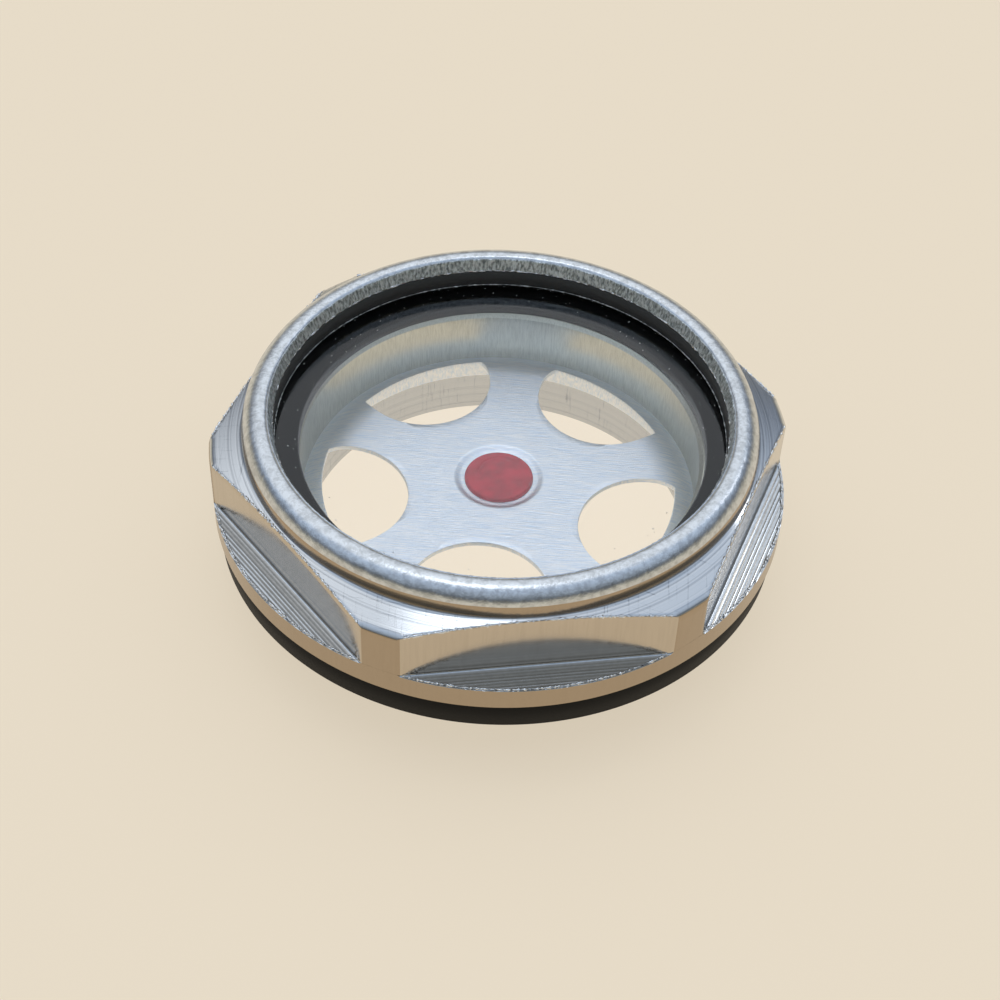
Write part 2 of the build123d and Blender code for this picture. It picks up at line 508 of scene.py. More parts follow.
def body_columns():
    """Angles of the columns, with one on each corner of each flat."""
    side_angle = math.tau / SIDES
    angles = []
    for side in range(SIDES):
        middle = -math.pi / 2 + side * side_angle
        start, end = middle - FLAT_HALF_ANGLE, middle + FLAT_HALF_ANGLE
        angles.extend(np.linspace(start, end, COLUMNS_ON_FLAT, endpoint=False))
        angles.extend(np.linspace(end, start + side_angle, COLUMNS_ON_CORNER, endpoint=False))
    return np.array(angles)


COLUMNS = body_columns()
OFF_FLAT = (COLUMNS + math.pi / 2 + math.pi / SIDES) % (math.tau / SIDES) - math.pi / SIDES
HEX_RADIUS = np.minimum(FLAT_DISTANCE / np.cos(OFF_FLAT), RIM)
ON_CORNER = HEX_RADIUS > RIM - 0.01 * MM
print(len(COLUMNS), "columns, flat", round(2 * FLAT_DISTANCE / MM, 1), "mm across")

# %% [markdown]
# ## Milled ledges
#
# The cutter that made each flat left a ledge at its foot, with a small fillet in the corner and a
# ridge for each pass of its teeth. The ridges run parallel to the flat, so a ridge lies at a fixed
# distance from it, and each row of the mesh follows one such line until it meets the rim.

# %% Heights across a ledge
LEDGE = SEAT + 2.5 * MM
FOOT_FILLET = 0.2 * MM
RIDGE_COUNT = 8
RIDGE_HEIGHT = 0.018 * MM
DEEP_RIDGE_HEIGHT = 0.036 * MM
RIDGE_STEPS = 6


def ledge_height(distance, ridge_height=RIDGE_HEIGHT):
    """Height of the ledge at a distance from its flat: fillet first, then ridges."""
    inside = np.clip(FOOT_FILLET - distance, 0, FOOT_FILLET)
    fillet = FOOT_FILLET - np.sqrt(FOOT_FILLET**2 - inside**2)
    pitch = (LEDGE_DEPTH - FOOT_FILLET) / RIDGE_COUNT
    turn = np.clip(distance - FOOT_FILLET, 0, None) / pitch
    sway = 1 + 0.35 * np.sin(2.1 * turn + 0.6)  # no two ridges alike
    ridge = ridge_height * sway * (1 - np.abs(np.sin(math.pi * turn)))
    return LEDGE + fillet + ridge


def ledge_rows():
    """Distances from the flat: a few in the fillet, a few for each ridge."""
    fillet = FOOT_FILLET * (1 - np.cos(np.linspace(0, math.pi / 2, 6)))
    ridges = np.linspace(FOOT_FILLET, LEDGE_DEPTH, RIDGE_COUNT * RIDGE_STEPS + 1)[1:]
    return np.concatenate([fillet, ridges])


SIDE = np.round((COLUMNS + math.pi / 2) / (math.tau / SIDES)).astype(int) % SIDES
SIDE_RIDGES = np.where(SIDE % 3 == 1, DEEP_RIDGE_HEIGHT, RIDGE_HEIGHT)
print(len(ledge_rows()), "rows across a ledge")

# %% [markdown]
# ## Sheets of rows and columns
#
# The body, the seals and the glass are all made by one helper. It takes the outline as rows of
# radius and height, wraps them round the axis and closes the sheet on itself. A row may hold one
# value for each column, which is how the flats come into the round body.

# %% Lay out a sheet
def grid(rows, angles, jitter=None, keep=None):
    """Points and faces of rows of (radius, height, finish index), and the finish of each face."""
    radii = np.array([np.broadcast_to(row[0], angles.shape) for row in rows])
    levels = np.array([np.broadcast_to(row[1], angles.shape) for row in rows])
    points = np.stack([radii * np.cos(angles), radii * np.sin(angles), levels], axis=-1)
    if jitter is not None:
        points = jitter(points)
    corner = np.arange(radii.size).reshape(radii.shape)
    beside = np.roll(corner, -1, axis=1)
    corners = [corner, beside, np.roll(beside, -1, axis=0), np.roll(corner, -1, axis=0)]
    faces = np.stack(corners, axis=-1).reshape(-1, 4)
    finishes = np.concatenate([np.broadcast_to(entry[2], angles.shape) for entry in rows])
    if keep is not None:
        kept = np.asarray(keep).reshape(-1)
        faces, finishes = faces[kept], finishes[kept]
    return points.reshape(-1, 3), faces, finishes

# %% [markdown]
# Where rows meet, at a pole or where a ledge has run out, their doubles are merged, so the mesh stays
# closed. Smooth shading would blur a crisp corner, so an edge where two faces meet at a steep angle
# is marked sharp.

# %% Clean, sharpen and wrap
def clean(piece, nearest=0.002 * MM):
    """Merges doubles and turns all faces outwards."""
    form = bmesh.new()
    form.from_mesh(piece.data)
    bmesh.ops.remove_doubles(form, verts=form.verts, dist=nearest)
    bmesh.ops.dissolve_degenerate(form, edges=form.edges, dist=nearest / 2)
    bmesh.ops.recalc_face_normals(form, faces=form.faces)
    form.to_mesh(piece.data)
    form.free()


def sharpen(piece, degrees=35):
    """Marks edges sharp where faces meet at more than an angle."""
    form = bmesh.new()
    form.from_mesh(piece.data)
    for edge in form.edges:
        edge.smooth = len(edge.link_faces) == 2 and edge.calc_face_angle() < math.radians(degrees)
    form.to_mesh(piece.data)
    form.free()


def wrap(name, rows, materials, angles, jitter=None):
    """Closed piece from one outline wrapped round the axis."""
    points, faces, finishes = grid(rows, angles, jitter)
    piece = new_piece(name, points, faces, materials, finishes)
    clean(piece)
    return piece


def banded(outline, band=0):
    """Rows of an outline that share one finish."""
    return [(radius, level, band) for radius, level in outline]

# %% [markdown]
# ## Body
#
# The outline is followed from the bore up over the seal's ledge, round the rolled lip, down the
# collar, out over the cone to the flats, the ledges and the rim, and back under the flange to the
# spigot. The finish changes where the tool changed, so each row carries the number of its finish.

# %% Sizes of the body
COLLAR_RADIUS = FLAT_DISTANCE - 0.35 * MM
WINDOW_BORE = WINDOW_RADIUS + 0.1 * MM
HEX_TOP = LEDGE + 6.4 * MM
CONE_SLOPE = math.tan(math.radians(18))
ROLL_RADIUS = 1.9 * MM
ROLL_END = 5
ROLL_FOOT = LIP_TOP - ROLL_RADIUS
LIP_OPENING = WINDOW_BORE - 1.65 * MM
CUT_EDGE = (LIP_OPENING + 0.4 * MM, LIP_TOP - 0.25 * MM)
BORE_CHAMFER = 0.4 * MM
EDGE_BREAK = 0.1 * MM
CORNER_BREAK = np.where(ON_CORNER, 4 * EDGE_BREAK, EDGE_BREAK)
RELIEF_RADIUS = 22.8 * MM
THREAD_DEPTH = 0.92 * MM
THREAD_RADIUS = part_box("flange_gasket")[1].x - 5.6 * MM
THREAD_ROOT = THREAD_RADIUS - THREAD_DEPTH
LEAD_IN = 1.0 * MM
TURNED_BAND, MILLED_BAND, ROLLED_BAND, SHEARED_BAND = range(4)
# The fifth band is the drawn finish, painted tan as a reflection of the floor
FLOOR_TINTED_BAND, BORED_BAND, THREADED_BAND, END_MILLED_BAND = range(4, 8)
print("lip opening", round(2 * LIP_OPENING / MM, 1), "mm across")

# %% [markdown]
# The bore is plain, and a chamfer leads it up to the ledge that carries the lower seal. The lip began
# as an upright wall that a roller folded in over the window. Its cut edge tore in the fold, and its
# outside stretched into a round crest, so the torn face gets many rows and the crest an even arc.

# %% Inside of the body and rolled lip
CROWN = ((0.08, 0.06), (0.16, 0.02), (0.3, 0.16), (0.5, 0.22))  # mm out and up from the cut edge


def inside_rows():
    """From the spigot's end up the bore to the underside of the lip."""
    below = [(BORE + 0.5 * MM, SPIGOT_END), (BORE, SPIGOT_END + 0.5 * MM)]
    above = [
        (BORE, heights("reflector")[0]),
        (BORE, SEAL_LEDGE - BORE_CHAMFER),
        (BORE + BORE_CHAMFER, SEAL_LEDGE),
        (WINDOW_BORE, SEAL_LEDGE),
        (WINDOW_BORE, LIP_UNDERSIDE),
        (LIP_OPENING + 2 * EDGE_BREAK, LIP_UNDERSIDE),
    ]
    return banded(below, TURNED_BAND) + banded(above, BORED_BAND)


def arc(centre, radius, start, end, steps):
    """Points of an arc in the plane of radius and height, angles in degrees."""
    turns = np.radians(np.linspace(start, end, steps))
    across, up = centre
    return [(across + radius * math.cos(turn), up + radius * math.sin(turn)) for turn in turns]


def spread(start, end, steps):
    """Points along a straight run, the first one left out."""
    shares = np.linspace(0, 1, steps + 1)[1:]
    return [tuple(a + (b - a) * share for a, b in zip(start, end)) for share in shares]


def lip_rows():
    """Torn edge, crown, crest and the outside of the roll."""
    torn = spread((LIP_OPENING, LIP_UNDERSIDE + EDGE_BREAK), CUT_EDGE, 12)
    crown = [(CUT_EDGE[0] + out * MM, CUT_EDGE[1] + up * MM) for out, up in CROWN]
    centre = (COLLAR_RADIUS - ROLL_RADIUS, ROLL_FOOT)
    roll = arc(centre, ROLL_RADIUS, 90, 0, 26)[1:]
    crest = [*crown, (centre[0], LIP_TOP), *roll[:-ROLL_END]]
    # The foot of the roll takes the drawn finish: its tan is a painted reflection of the floor
    foot = banded(roll[-ROLL_END:], FLOOR_TINTED_BAND)
    return banded(torn, SHEARED_BAND) + banded(crest, ROLLED_BAND) + foot


print(len(inside_rows()), "rows inside,", len(lip_rows()), "rows round the lip")

# %% [markdown]
# The collar stands on a turned cone, and the flats cut the cone off in arcs. Every edge is broken a
# little, and more so on the corners, where the bar's own skin remains. On a corner the rows of the
# flat close up on the rim, so that the sheet has the same number of rows everywhere.

# %% Collar, cone, flats and ledges
GROOVE = 0.06 * MM


def cone_level(radius):
    """Height of the turned cone at a radius."""
    return HEX_TOP - (radius - FLAT_DISTANCE) * CONE_SLOPE


def collar_rows():
    """Upright collar with a fine groove at its foot, then the cone out to the hexagon's edge."""
    foot = cone_level(COLLAR_RADIUS)
    groove = [
        (COLLAR_RADIUS, foot + 2 * GROOVE),
        (COLLAR_RADIUS - GROOVE / 2, foot + GROOVE),
        (COLLAR_RADIUS - GROOVE / 2, foot),
        (COLLAR_RADIUS + GROOVE / 2, foot + GROOVE / 4),
    ]
    start = COLLAR_RADIUS + GROOVE
    run = HEX_RADIUS - CORNER_BREAK - start
    radii = [start + run * share for share in np.linspace(0, 1, 9)]
    cone = [(radius, cone_level(radius)) for radius in radii]
    return banded(groove + cone, TURNED_BAND)


def flat_rows():
    """Broken edge, upright flat, fillet and ledge."""
    top = cone_level(HEX_RADIUS) - CORNER_BREAK
    foot = LEDGE + FOOT_FILLET
    upright = [(HEX_RADIUS - 0.3 * CORNER_BREAK, top + 0.7 * CORNER_BREAK)]
    upright += [(HEX_RADIUS, top + (foot - top) * share) for share in np.linspace(0, 1, 9)]
    ledge = []
    for distance in ledge_rows()[1:]:
        radius = np.minimum((FLAT_DISTANCE + distance) / np.cos(OFF_FLAT), RIM)
        actual = np.maximum(radius * np.cos(OFF_FLAT) - FLAT_DISTANCE, 0)
        ledge.append((radius, ledge_height(actual, SIDE_RIDGES)))
    # Corners take the drawn finish, whose tan is a painted reflection of the floor
    rows = banded(upright, np.where(ON_CORNER, FLOOR_TINTED_BAND, MILLED_BAND))
    return rows + banded(ledge, np.where(ON_CORNER, FLOOR_TINTED_BAND, END_MILLED_BAND))


print(len(collar_rows()), "rows on the collar and cone,", len(flat_rows()), "rows on the flats")

# %% [markdown]
# The rim keeps the drawn skin of the bar, painted tan as a reflection of the floor. Under the flange
# lie the gasket's seat, an undercut and the spigot, in the darker thread finish, a painted shade. The
# spigot is cut back to the root of the thread here, because the ridge of the thread is a piece of its
# own.

# %% Rim and spigot
def under_rows():
    """Rim, underside of the flange, undercut and spigot."""
    top = ledge_height(np.maximum(RIM * np.cos(OFF_FLAT) - FLAT_DISTANCE, 0), SIDE_RIDGES)
    rim_top = top - 0.02 * MM
    run = SEAT + EDGE_BREAK - rim_top
    rim = [(RIM, rim_top + run * share) for share in (0, 0.3, 0.6, 1)]
    spigot = [
        (RIM - EDGE_BREAK, SEAT),
        (RELIEF_RADIUS, SEAT),
        (RELIEF_RADIUS, 0),
        (THREAD_ROOT, 0),
        (THREAD_ROOT, SPIGOT_END + LEAD_IN / 3),
        (THREAD_ROOT - LEAD_IN / 3, SPIGOT_END),
    ]
    return banded(rim, FLOOR_TINTED_BAND) + banded(spigot, THREADED_BAND)


print(len(under_rows()), "rows on the rim and spigot")

# %% [markdown]
# The roller's marks are soft and wide, so noise presses shallow dents into the lip. The torn face is
# finer and harsher, and its noise is drawn out upright, as a tear runs. Both move the points and not
# only their shading, because they show on the outline of the lip.

# %% Dent the roll, tear the edge and wrap the body
DENT_SIZE = 1.6 * MM
DENT_DEPTH = 0.022 * MM
DENT_LEVEL = 0.01 * MM  # the lip sinks by this much, and no peak rises above the outline
TEAR_GRAIN = 0.35 * MM
TEAR_DEPTH = 0.07 * MM


def dented(points):
    """Small dents in the rolled lip, and a torn face where it was sheared."""
    moved = points.copy()
    radii = np.hypot(points[..., 0], points[..., 1])
    inside = radii < (CUT_EDGE[0] + 0.02 * MM)
    on_lip = (points[..., 2] > LIP_UNDERSIDE + 0.02 * MM) & (radii < COLLAR_RADIUS + 0.01 * MM)
    for row, column in zip(*np.nonzero(on_lip)):
        point = points[row, column]
        out = np.array([point[0], point[1], 0]) / radii[row, column]
        if inside[row, column]:
            spot = Vector((point[0], point[1], point[2] * 0.5)) / TEAR_GRAIN
            depth = TEAR_DEPTH * noise.fractal(spot, 0.8, 2.0, 3)
        else:
            spot = Vector(point) / DENT_SIZE
            depth = min(DENT_DEPTH * noise.fractal(spot, 1.0, 2.0, 2) - DENT_LEVEL, 0)
        moved[row, column] = point + out * depth
    return moved


body_rows = inside_rows() + lip_rows() + collar_rows() + flat_rows() + under_rows()
body = wrap("body_metal", body_rows, BODY_FINISHES, COLUMNS, dented)
sharpen(body)
print("body:", len(body_rows), "rows,", len(body.data.polygons), "faces")

# %% [markdown]
# ## Seals and gasket
#
# Three rings of black nitrile rubber. They were cut or moulded, so their faces are matt with a fine
# grain. The two seals at the window are painted greyer than the gasket: painted light, lifting them
# out of the shade under the lip.

# %% Nitrile rubber
def nitrile_rubber(name, colour, roughness):
    """Moulded rubber: it swallows the light, and its grain keeps it from looking like plastic."""
    sockets = {"Roughness": roughness, "IOR": 1.5, "Specular_IOR_Level": 0.2}
    return grained(name, colour, pattern=(1 / 0.3, 4.0, 0.7), depth=0.02, **sockets)


RUBBER = nitrile_rubber("nitrile_rubber", "#110F0C", 0.6)
# The seals' rubber is painted lighter than the gasket's, against the shade under the lip
SHADE_LIFTED_RUBBER = nitrile_rubber("nitrile_rubber_lightened", "#4A4A48", 0.5)
print("rubbers:", RUBBER.name, "and", SHADE_LIFTED_RUBBER.name)

# %% [markdown]
# Each ring has a rectangular section with softened edges. The lower seal lies a little off centre, so
# more of it shows on one side, and its inner radius follows a cosine.

# %% Rings of rubber
ROUND_COLUMNS = np.linspace(0, math.tau, 360, endpoint=False)
SOFT_EDGE = 0.12 * MM


def rubber_ring(node, inner, outer, rubber, edge=SOFT_EDGE):
    """Ring between a node's own bottom and top."""
    bottom, top = heights(node)
    corners = [
        (inner, bottom + edge),
        (inner, top - edge),
        (inner + edge, top),
        (outer - edge, top),
        (outer, top - edge),
        (outer, bottom + edge),
        (outer - edge, bottom),
        (inner + edge, bottom),
    ]
    ring = wrap(f"{node}_rubber", banded(corners), [rubber], ROUND_COLUMNS)
    sharpen(ring, 50)
    return ring


sagging_edge = BORE + 0.3 * MM + 0.25 * MM * np.cos(ROUND_COLUMNS)
gasket_outside = outer_radius("flange_gasket")
upper_seal = rubber_ring("upper_seal", LIP_OPENING, WINDOW_RADIUS, SHADE_LIFTED_RUBBER)
lower_seal = rubber_ring("lower_seal", sagging_edge, WINDOW_RADIUS, SHADE_LIFTED_RUBBER)
flange_gasket = rubber_ring("flange_gasket", THREAD_RADIUS + 0.2 * MM, gasket_outside, RUBBER)
print("rubber rings:", [ring.name for ring in (upper_seal, lower_seal, flange_gasket)])

# %% [markdown]
# ## Window
#
# Float glass, ground to a disc. Its faces are polished and its edge is bevelled. The disc is a closed
# solid, so light bends at its top and again at its bottom, as in a real pane.

# %% Glass disc
BEVEL = 0.3 * MM


def float_glass():
    """Clear, polished glass: what shows is the bright sky in it and the dark of its edge."""
    return new_material("float_glass", "#FFFFFF", Roughness=0.0, IOR=1.5, Transmission_Weight=1.0)[0]


def glass_rows(bevel=BEVEL):
    """Outline of the disc, from the middle of its bottom to the middle of its top."""
    corners = [
        (0, GLASS_BOTTOM),
        (WINDOW_RADIUS - bevel, GLASS_BOTTOM),
        (WINDOW_RADIUS, GLASS_BOTTOM + bevel),
        (WINDOW_RADIUS, GLASS_TOP - bevel),
        (WINDOW_RADIUS - bevel, GLASS_TOP),
        (0, GLASS_TOP),
    ]
    return banded(corners)


window_glass = wrap("window_glass_disc", glass_rows(), [float_glass()], ROUND_COLUMNS)
sharpen(window_glass)
print("glass:", round(2 * WINDOW_RADIUS / MM, 1), "mm across")

# %% [markdown]
# ## Reflector
#
# Sheet aluminium, brushed in one direction before it was pressed and punched. The brushing is noise
# drawn out along that direction, and it stays straight over the dimple and the shoulder, because it
# is taken from the place in the room and not from the shape.

# %% Brushed sheet
BRUSH_TURN = -12  # degrees
BRUSH_MARK = (8, 0.3, 2)  # mm along, across and up
# Long fine brushing scratches as darker and paler streaks. The pale streaks are painted sheen, and
# the bluish tint of both shades is a painted reflection of the sky
BRUSHED = grained(
    "brushed_sheet",
    "#D8E4F0",
    pattern=(3.0, 5.0, 0.7),
    depth=0.05,
    stops=((0.36, "#D6E6F8"), (0.62, "#FDFEFF")),
    lengths=BRUSH_MARK,
    turn=BRUSH_TURN,
    Metallic=1.0,
    Roughness=0.36,
)
print("finish:", BRUSHED.name)

# %% [markdown]
# The sheet was pressed into a shallow cap: a dimple for the enamel, a flat plateau, a shoulder that
# falls away and an upright skirt that grips the bore. Five holes let the oil through. The punch drew
# the upper edge of each hole down a little and left the lower one sharp. Columns crowd towards the
# points where a line from the centre only touches a hole, so the edges run smoothly there too.

# %% Sizes of the reflector
SHEET = 0.5 * MM
SKIRT_END, PLATEAU = heights("reflector")
DIMPLE_FLOOR = heights("red_dot")[0]
PLATEAU_RADIUS = BORE - 4.6 * MM
SHOULDER_RADIUS = 7.5 * MM
DIMPLE_RADIUS = 4.4 * MM
DIMPLE_WALL = 0.9 * MM
HOLES = 5
HOLE_RADIUS = 7.3 * MM
HOLE_RING = BORE - 3.7 * MM
HOLE_LIMIT = BORE - 2.1 * MM
HOLE_TURN = math.radians(39.3)
DRAWN_EDGE = 0.07 * MM
TOUCH_ANGLE = math.asin(HOLE_RADIUS / HOLE_RING)
TOUCH_RADIUS = math.sqrt(HOLE_RING**2 - HOLE_RADIUS**2)


def reflector_columns():
    """Angles of the columns, and how far each one is from the middle of its hole."""
    touch = math.acos(HOLE_RADIUS / HOLE_RING)
    turns = np.linspace(-touch, touch, 61)
    near = np.arctan2(HOLE_RADIUS * np.sin(turns), HOLE_RING - HOLE_RADIUS * np.cos(turns))
    clipped = (HOLE_RING**2 + HOLE_LIMIT**2 - HOLE_RADIUS**2) / (2 * HOLE_RING * HOLE_LIMIT)
    corner = math.acos(clipped)
    spoke = np.linspace(TOUCH_ANGLE, math.tau / HOLES - TOUCH_ANGLE, 13)[1:-1]
    offsets = np.concatenate([np.sort(np.append(near, [-corner, corner])), spoke])
    step = math.tau / HOLES
    angles = np.concatenate([HOLE_TURN + hole * step + offsets for hole in range(HOLES)])
    return angles, np.tile(offsets, HOLES)


SHEET_COLUMNS, FROM_HOLE = reflector_columns()
HALF_CHORD = np.sqrt(np.clip(HOLE_RADIUS**2 - (HOLE_RING * np.sin(FROM_HOLE)) ** 2, 0, None))
OVER_HOLE = np.abs(FROM_HOLE) < TOUCH_ANGLE - 1e-6
NEAR_EDGE = np.where(OVER_HOLE, HOLE_RING * np.cos(FROM_HOLE) - HALF_CHORD, TOUCH_RADIUS)
FAR_EDGE = np.where(OVER_HOLE, HOLE_RING * np.cos(FROM_HOLE) + HALF_CHORD, TOUCH_RADIUS)
FAR_EDGE = np.minimum(FAR_EDGE, HOLE_LIMIT)
print(len(SHEET_COLUMNS), "columns,", HOLES, "holes", round(2 * HOLE_RADIUS / MM, 1), "mm across")

# %% [markdown]
# Pressing keeps the sheet's thickness, so the lower face follows the upper one. On the shoulder it is
# an arc about the same centre with a smaller radius.

# %% Press the sheet
def sheet_level(radius):
    """Height of the sheet's upper face: dimple, plateau and falling shoulder."""
    share = np.clip((radius - DIMPLE_RADIUS + DIMPLE_WALL / 2) / DIMPLE_WALL, 0, 1)
    dimple = (PLATEAU - DIMPLE_FLOOR) * (1 - share * share * (3 - 2 * share))
    fall = np.clip(radius - PLATEAU_RADIUS, 0, None)
    return PLATEAU - dimple - SHOULDER_RADIUS + np.sqrt(SHOULDER_RADIUS**2 - fall**2)


def under_level(radius):
    """Height of the lower face, one sheet's thickness further in."""
    inner = SHOULDER_RADIUS - SHEET
    fall = np.clip(radius - PLATEAU_RADIUS, 0, inner)
    flat = sheet_level(np.minimum(radius, PLATEAU_RADIUS)) - SHEET
    return flat - inner + np.sqrt(inner**2 - fall**2)


print("dimple", round((PLATEAU - DIMPLE_FLOOR) / MM, 2), "mm deep")

# %% [markdown]
# A hole splits the section of the sheet into two parts, one from the middle to the near edge of the
# hole and one from its far edge to the skirt. Each part is closed by the wall of the hole. Between
# the holes the two parts meet, and there their walls are left out.

# %% Punch the holes
def middle_rows():
    """Section from the middle out to the near edge of the holes, and back underneath."""
    dimple = list(DIMPLE_RADIUS + DIMPLE_WALL * np.linspace(-0.6, 0.6, 11))
    edge = np.where(OVER_HOLE, DRAWN_EDGE, 0)
    start = dimple[-1]
    plateau = [start + (NEAR_EDGE - edge - start) * share for share in np.linspace(0, 1, 7)[1:]]
    out = [0.0, dimple[0] * 0.6] + dimple + plateau
    rows = [(radius, sheet_level(radius)) for radius in out]
    walls = [(NEAR_EDGE - 0.4 * edge, sheet_level(NEAR_EDGE) - 0.2 * edge)]
    walls += [(NEAR_EDGE, sheet_level(NEAR_EDGE) - edge)]
    back = [NEAR_EDGE] + plateau[-2::-1] + dimple[::-1] + [dimple[0] * 0.6, 0.0]
    rows += walls
    wall_band = len(rows) - 1
    rows += [(radius, under_level(radius)) for radius in back]
    return rows, wall_band


def rim_rows():
    """Section from the far edge of the holes down the shoulder and skirt, and back underneath."""
    edge = np.where(OVER_HOLE, DRAWN_EDGE, 0)
    inner_skirt = BORE - SHEET
    start, under_start = FAR_EDGE + edge, FAR_EDGE
    rows = [(FAR_EDGE, sheet_level(FAR_EDGE) - edge)]
    rows += [(FAR_EDGE + 0.4 * edge, sheet_level(FAR_EDGE) - 0.2 * edge)]
    for share in np.linspace(0, 1, 17):
        radius = start + (BORE - start) * share
        rows.append((radius, sheet_level(radius)))
    rows += [(BORE, SKIRT_END), (inner_skirt, SKIRT_END)]
    for share in np.linspace(1, 0, 15):
        radius = under_start + (inner_skirt - under_start) * share
        rows.append((radius, under_level(radius)))
    return rows, len(rows) - 1


def punched_sheet(material):
    """Both parts of the section, left open between the holes, where they join."""
    gap = FAR_EDGE > NEAR_EDGE
    beside_gap = gap | np.roll(gap, -1)
    parts = []
    for rows, wall_band in (middle_rows(), rim_rows()):
        keep = np.ones((len(rows), len(SHEET_COLUMNS)), bool)
        keep[wall_band] = beside_gap
        parts.append(grid(banded(rows), SHEET_COLUMNS, keep=keep))
    points = np.concatenate([part[0] for part in parts])
    faces = np.concatenate([parts[0][1], parts[1][1] + len(parts[0][0])])
    piece = new_piece("reflector_sheet", points, faces, [material])
    clean(piece)
    sharpen(piece, 40)
    return piece


reflector = punched_sheet(BRUSHED)
print("reflector:", len(reflector.data.polygons), "faces")

# %% [markdown]
# ## Red marker
#
# A drop of red enamel stoved in the dimple. Its skin is glossy and slightly wavy, and a soft noise
# moves both the skin and the red, which is deeper where the drop lies thick.

# %% Red enamel
# A saturated red under a clear mirror that waves a little
ENAMEL = grained(
    "red_enamel",
    "#F00838",
    pattern=(1 / 1.4, 2.0, 0.5),
    depth=0.03,
    stops=((0.35, "#DC0632"), (0.65, "#FA0A3C")),
    Roughness=0.08,
    IOR=1.5,
    Specular_IOR_Level=0.25,
)
print("finish:", ENAMEL.name)

# %% [markdown]
# The drop wets the metal and dries with a low crown, a thicker edge and a wrinkle where its skin set
# first. The edge and the wrinkle catch the light as thin curved lines.

# %% Enamel drop
DOT_RADIUS = outer_radius("red_dot")
DOT_TOP = heights("red_dot")[1]
DOT_CROWN = DOT_TOP - DIMPLE_FLOOR
DOT_EDGE = 0.3 * MM
WRINKLE_HEIGHT = 0.13 * MM
WRINKLE_WIDTH = 0.2 * MM


def wrinkled(points):
    """Raises a thin curved wrinkle in the skin of the enamel."""
    radii = np.hypot(points[..., 0], points[..., 1])
    angles = np.degrees(np.arctan2(points[..., 1], points[..., 0]))
    along = np.clip((angles - 55) / 110, 0, 1)  # 0 at 55 degrees, 1 at 165
    ring = DOT_RADIUS * (0.72 - 0.12 * along)
    height = WRINKLE_HEIGHT * np.exp(-(((radii - ring) / WRINKLE_WIDTH) ** 2))
    fade = np.clip(np.minimum(angles - 45, 185 - angles) / 15, 0, 1)  # thin at both ends
    moved = points.copy()
    on_top = points[..., 2] > DIMPLE_FLOOR + 0.4 * DOT_CROWN
    moved[..., 2] += np.where(on_top, height * fade, 0)
    return moved


def dot_rows():
    """Outline of the drop: thick edge, shallow valley, low crown."""
    rows = [(0, DIMPLE_FLOOR), (DOT_RADIUS, DIMPLE_FLOOR)]
    for angle in np.linspace(0, 90, 6):
        turn = math.radians(angle)
        radius = DOT_RADIUS - DOT_EDGE * (1 - math.cos(turn))
        rows.append((radius, DIMPLE_FLOOR + 0.8 * DOT_CROWN * math.sin(turn)))
    for share in np.linspace(0.9, 0, 44):
        valley = 0.06 * DOT_CROWN * math.exp(-(((share - 0.8) / 0.07) ** 2))
        level = 0.8 + 0.12 * (1 - share**2) - valley
        rows.append((DOT_RADIUS * share, DIMPLE_FLOOR + DOT_CROWN * level))
    return banded(rows)


red_dot = wrap("red_enamel_drop", dot_rows(), [ENAMEL], ROUND_COLUMNS[::3], wrinkled)
print("enamel drop:", len(red_dot.data.polygons), "faces")

# %% [markdown]
# ## Burrs, crumbs and dust
#
# Cutting leaves a thin ragged burr along each edge, and it sparkles. Burrs, crumbs, dust and the
# thread are all grown by Geometry Nodes: a tree takes a mesh and a few named values, and the grown
# mesh is stored as a plain piece.

# %% Geometry Nodes helpers
def new_tree(name, floats, vectors=()):
    """Geometry tree with named inputs: the tree, what it is given, and its output node."""
    tree = bpy.data.node_groups.new(name, "GeometryNodeTree")
    kinds = dict.fromkeys(floats, "Float") | dict.fromkeys(vectors, "Vector")
    for label, kind in {"Geometry": "Geometry", **kinds, "Material": "Material"}.items():
        tree.interface.new_socket(label, in_out="INPUT", socket_type=f"NodeSocket{kind}")
    tree.interface.new_socket("Geometry", in_out="OUTPUT", socket_type="NodeSocketGeometry")
    return tree, tree.nodes.new("NodeGroupInput").outputs, tree.nodes.new("NodeGroupOutput")


def end_tree(tree, source, material, group_out):
    """Realizes instances, sets the material and closes the tree."""
    real = add_node(tree, "GeometryNodeRealizeInstances", {0: source})
    finish = add_node(tree, "GeometryNodeSetMaterial", {"Geometry": real, "Material": material})
    tree.links.new(finish.outputs[0], group_out.inputs[0])


def grow(name, tree, source, **values):
    """Runs a tree on a mesh and returns the result as a plain piece."""
    seedling = put(f"{name}_source", source)
    modifier = seedling.modifiers.new(name, "NODES")
    modifier.node_group = tree
    for socket in tree.interface.items_tree:
        if socket.in_out == "INPUT" and socket.name in values:
            modifier[socket.identifier] = values[socket.name]
    shown = seedling.evaluated_get(bpy.context.evaluated_depsgraph_get())
    mesh = bpy.data.meshes.new_from_object(shown)
    mesh.name = name
    mesh.materials.clear()
    mesh.materials.append(values["Material"])
    mesh.polygons.foreach_set("material_index", [0] * len(mesh.polygons))
    bpy.data.objects.remove(seedling)
    return put(name, mesh)


def path_mesh(name, paths):
    """Mesh of edges only, one chain for each list of points."""
    points, edges = [], []
    for path in paths:
        start = len(points)
        points.extend(path)
        edges.extend((start + step, start + step + 1) for step in range(len(path) - 1))
    mesh = bpy.data.meshes.new(name)
    mesh.from_pydata(points, edges, [])
    return mesh

# %% [markdown]
# The first tree walks along a path in small steps, gives each step its own thickness, sweeps a small
# five-sided profile and pushes each point of the result about. A few thick steps among many thin
# ones look like torn metal, so the random thickness is raised to a power.

